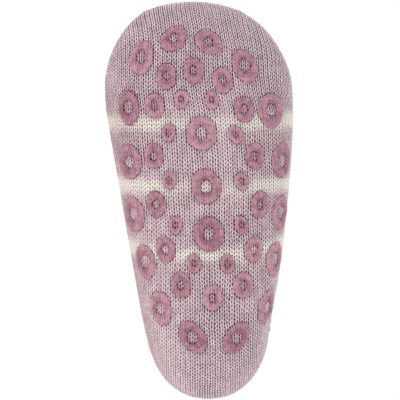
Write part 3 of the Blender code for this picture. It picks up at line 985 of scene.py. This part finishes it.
def lining_piece():
    """The inside of the sock, where the back of the knit shows."""
    p_line = row_places(0.0, LAST_ROW, LINING_SPACING)
    q_line = np.arange(LINING_COLUMNS) * (FINE_ROUND / LINING_COLUMNS)
    p, q = np.meshgrid(p_line, q_line, indexing="ij")
    base = sample(GRID, p, q)
    out = sample(NORMAL, p, q)
    wale, course = knit_places(p, q, "foot", True)
    purl = 0.5 + 0.5 * np.cos(2 * math.pi * course) * np.cos(2 * math.pi * wale)
    out[..., 2] = np.where(p > HEEL_END, 0.0, out[..., 2])
    out /= np.linalg.norm(out, axis=-1, keepdims=True)
    points = base - out * (KNIT_WALL + PURL_DEPTH - PURL_DEPTH * purl)[..., None]
    # At the tip of the toe the sole's row of points and the instep's are one.
    other = (LINING_COLUMNS // 2 - np.arange(LINING_COLUMNS)) % LINING_COLUMNS
    points[0] = (points[0] + points[0][other]) / 2
    points = place(points, KNIT_WALL)
    faces = grid_faces(len(p_line), LINING_COLUMNS)[:, ::-1]
    obj = add_mesh("sock_lining", points.reshape(-1, 3), faces, {"relief": purl})
    obj.data.materials.append(LINING)
    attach(obj, "root")
    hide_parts("knitted_sock")


COLLAR_COLUMNS = 480
COLLAR_STEPS = 11
COLLAR_DEPTH = 0.0014     # how far the bound edge reaches down
COLLAR_ROUND = 0.6        # makes its arch fuller than an ellipse
CHAIN_HEIGHT = 0.00010


def collar_piece():
    """The bound edge that turns from the cuff's outside to its inside."""
    q_line = np.arange(COLLAR_COLUMNS) * (FINE_ROUND / COLLAR_COLUMNS)
    p = np.full(COLLAR_COLUMNS, LAST_ROW)
    base = sample(GRID, p, q_line)
    out = sample(NORMAL, p, q_line)
    out[..., 2] = 0.0
    out /= np.linalg.norm(out, axis=-1, keepdims=True)
    wale, _ = knit_places(p, q_line, "leg", True)
    furrow = 0.5 + 0.5 * np.cos(math.pi * wale)
    chain = 0.5 + 0.5 * np.cos(2 * math.pi * wale)
    outside = CUFF_STEP + 0.00030 - furrow**1.5 * RIB_DEPTH * 0.6
    inside = -(KNIT_WALL + 0.00015)
    middle = (outside + inside) / 2
    swing = (outside - inside) / 2
    rows = []
    courses = []
    for k in range(COLLAR_STEPS):
        share = k / (COLLAR_STEPS - 1)
        angle = math.pi * share
        reach = middle + swing * math.copysign(abs(math.cos(angle)) ** COLLAR_ROUND, math.cos(angle))
        point = base + out * reach[..., None]
        top = SOCK_HEIGHT - COLLAR_DEPTH + 0.0013 * math.sin(angle) ** COLLAR_ROUND
        point[..., 2] = top + CHAIN_HEIGHT * chain * math.sin(angle)
        rows.append(place(point))
        courses.append(np.full(COLLAR_COLUMNS, -3.0 * share))
    points = np.array(rows)
    course = np.array(courses)
    zero = np.zeros_like(course)
    fields = {
        "wale": zero + wale,
        "course": course,
        "loose": zero + 0.2,
        "stripe": zero,
        "near": zero,
        "film": zero,
        "furrow": zero,
    }
    faces = grid_faces(COLLAR_STEPS, COLLAR_COLUMNS)
    obj = add_mesh("collar_edge", points.reshape(-1, 3), faces, fields)
    obj.data.materials.append(KNIT)
    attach(obj, "root")
    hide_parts("knitted_sock")


# Points round a ring of each size
RING_POINTS = {"L": 160, "E": 152, "T": 144, "M": 120, "S": 84}
# How pale the print of each size is, and how much that varies from ring to ring
RING_TONES = {"L": -0.04, "E": -0.06, "T": -0.11, "M": 0.01, "S": 0.01}
TONE_VARIES = 0.10
# Height of the print from the rim of the hole, share 0, to the outer rim, share 1
RING_PROFILE = (
    (0.00, -0.40), (0.02, 0.10), (0.07, 0.38), (0.14, 0.62), (0.23, 0.81), (0.34, 0.93), (0.44, 0.99),
    (0.54, 1.00), (0.64, 0.96), (0.74, 0.86), (0.83, 0.70), (0.91, 0.48), (0.97, 0.20), (1.00, -0.40),
)
RAGGED = 0.00030          # how unsteady the rims of the print are
RUN_ON = 0.00045          # how much further the print runs along the tops of the yarn


def ring_piece(number, row, where):
    """One printed ring, laid on the knit at its place."""
    size, _, _, turn = row
    p0, q0, solve = where[:3]
    wide, long, _ = RING_SIZES[size]
    hole, hole_long = hole_size(size)
    around = RING_POINTS[size]
    turn_line = np.arange(around) * (2 * math.pi / around)
    spin = math.radians(turn)
    wobble = 1 + 0.022 * np.sin(2 * turn_line + number) + 0.016 * np.sin(3 * turn_line + 2.1 * number)
    wobble_in = 1 + 0.06 * np.sin(2 * turn_line + 1.7 * number) + 0.05 * np.sin(3 * turn_line + number)
    uneven = 1 + 0.06 * np.sin(turn_line * 2 + number * 1.3) + 0.05 * np.sin(turn_line * 5 + number)
    unsteady = soft_noise(turn_line * wide * 700, np.full(around, float(number)), 9) - 0.5
    zone = "heel" if p0 > FOOT_END else "foot"
    tone = RING_TONES[size] + TONE_VARIES * math.sin(7.3 * number)
    rows = []
    marks = {"share": [], "relief": [], "tone": []}
    for share, rise in RING_PROFILE:
        half_wide = hole / 2 * wobble_in * (1 - share) + share * wide / 2 * wobble
        half_long = hole_long / 2 * wobble_in * (1 - share) + share * long / 2 * wobble
        to_rim = (2 * share - 1) ** 3
        ragged = RAGGED * unsteady
        # The first round finds the stitches at the rim, and the second lets the print follow them.
        for _ in range(2):
            a = (half_wide + ragged * to_rim) * np.cos(turn_line)
            b = (half_long + ragged * to_rim) * np.sin(turn_line)
            x = a * math.cos(spin) + b * math.sin(spin)
            y = b * math.cos(spin) - a * math.sin(spin)
            p = p0 + solve[1, 0] * x + solve[1, 1] * y
            q = q0 + solve[0, 0] * x + solve[0, 1] * y
            wale, course, _ = uneven_knit(*knit_places(p, q, zone, True))
            relief = stitch(wale, course, np.full(around, 0.7))
            ragged = RAGGED * unsteady + RUN_ON * (relief - 0.55)
        base = sample(GRID, p, q)
        out = sample(NORMAL, p, q)
        out /= np.linalg.norm(out, axis=-1, keepdims=True)
        height = np.full(around, rise) * RING_THICK * (uneven if rise > 0 else 1)
        height = height + (relief - 0.6) * 0.00016 * (rise > 0)
        rows.append(place(base + out * height[..., None]))
        marks["share"].append(np.full(around, share))
        marks["relief"].append(relief)
        marks["tone"].append(np.full(around, tone))
    points = np.array(rows)
    name = "grip_ring_%02d" % (number + 1)
    fields = {key: np.array(values).ravel() for key, values in marks.items()}
    obj = add_mesh("printed_" + name, points.reshape(-1, 3), grid_faces(len(RING_PROFILE), around), fields)
    obj.data.materials.append(RUBBER)
    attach(obj, "root")
    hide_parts(name)


knit_piece("knit_toe_and_ball", "foot", 0.0, 8 * FINE, COURSE / 5, 288, 176)
knit_piece("knit_midfoot", "foot", 8 * FINE, FOOT_END, COURSE / 5, 288, 176)
knit_piece("knit_heel_under", "heel", FOOT_END, FOOT_END + 4 * FINE, COURSE / 4.6, 288, 144)
knit_piece("knit_heel_back", "heel", FOOT_END + 4 * FINE, HEEL_END, COURSE / 4, 240, 144)
knit_piece("knit_leg_and_cuff", "leg", HEEL_END, LAST_ROW, COURSE / 4, 240, 240)
lining_piece()
collar_piece()
for index, (ring_row, ring_where) in enumerate(RINGS):
    ring_piece(index, ring_row, ring_where)


def stage_floor():
    """A wide, evenly lit white table with nothing behind it."""
    points = np.array([(-12.0, -12.0, 0.0), (12.0, -12.0, 0.0), (12.0, 12.0, 0.0), (-12.0, 12.0, 0.0)])
    obj = add_mesh("floor", points, np.array([[0, 1, 2, 3]]))
    mat, _, shader = nodes_of("lit_table")
    shader.inputs["Base Color"].default_value = (0.90, 0.90, 0.90, 1.0)
    shader.inputs["Roughness"].default_value = 0.8
    shader.inputs["Emission Color"].default_value = (1.0, 1.0, 1.0, 1.0)
    shader.inputs["Emission Strength"].default_value = 0.60
    obj.data.materials.append(mat)


stage_floor()


def area_light(name, stand, aim_at, size, power):
    """A round soft light that looks at a point."""
    data = bpy.data.lights.new(name, "AREA")
    data.shape = "DISK"
    data.size = size
    data.energy = power
    obj = bpy.data.objects.new(name, data)
    bpy.context.scene.collection.objects.link(obj)
    obj.location = stand
    away = Vector(aim_at) - Vector(stand)
    obj.rotation_mode = "QUATERNION"
    obj.rotation_quaternion = away.to_track_quat("-Z", "Y")


# Up in the photo is toward the toe, and right in the photo is up here.
area_light("key", (-0.55, -1.30, 0.22), (0.0, 0.0, 0.03), 0.30, 0.45)
area_light("fill", (0.45, -1.40, 0.16), (0.0, 0.0, 0.03), 0.5, 0.15)
area_light("top", (0.0, -0.50, 1.42), (0.0, 0.0, 0.0), 1.0, 7.4)

# The room is white straight behind the sock and dimmer all round.
world = bpy.data.worlds.new("studio")
world.use_nodes = True
room = world.node_tree
direction = room.nodes.new("ShaderNodeTexCoord")
split = room.nodes.new("ShaderNodeSeparateXYZ")
room.links.new(direction.outputs["Generated"], split.inputs[0])
level = room.nodes.new("ShaderNodeMapRange")
room.links.new(split.outputs["Y"], level.inputs["Value"])
for key, number in (("From Min", -0.9), ("From Max", 0.95), ("To Min", 0.56), ("To Max", 1.0)):
    level.inputs[key].default_value = number
room.links.new(level.outputs["Result"], room.nodes["Background"].inputs["Strength"])
room.nodes["Background"].inputs["Color"].default_value = (1.0, 1.0, 1.0, 1.0)
bpy.context.scene.world = world

# The photo looks square at the sole with the toe up: rolled here, since the sock lies down.
PIXEL = 0.34079e-3        # size of a photo pixel on the sole
IMAGE_PIXELS = 400.0
HEEL_PIXEL = 399.3        # row of the photo where the heel ends
MIDLINE_PIXEL = 207.6     # column of the photo on the foot's own midline
SENSOR = 36.0
LENS = 500.0
AIM_HEIGHT = 0.010        # above the sole's lowest point, inside the foot
centre_forward = (HEEL_PIXEL - IMAGE_PIXELS / 2) * PIXEL
centre_side = (IMAGE_PIXELS / 2 - MIDLINE_PIXEL) * PIXEL
aim = place(np.array([centre_forward, centre_side, AIM_HEIGHT]))
distance = IMAGE_PIXELS * PIXEL * LENS / SENSOR
camera = bpy.data.cameras.new("camera")
camera.lens = LENS
camera.sensor_width = SENSOR
camera.clip_start = 0.05
camera.clip_end = 20.0
camera.dof.use_dof = False
eye = bpy.data.objects.new("camera", camera)
bpy.context.scene.collection.objects.link(eye)
right = Vector((math.sin(REST_LEAN), 0.0, math.cos(REST_LEAN)))
up = Vector((-math.cos(REST_LEAN), 0.0, math.sin(REST_LEAN)))
back = right.cross(up)
turn = Matrix((right, up, back)).transposed().to_4x4()
turn.translation = Vector((float(aim[0]), float(aim[1]) - distance, float(aim[2])))
eye.matrix_world = turn
bpy.context.scene.camera = eye
bpy.context.scene.view_settings.view_transform = "Standard"
bpy.context.scene.view_settings.look = "None"
bpy.context.scene.view_settings.exposure = 0.0
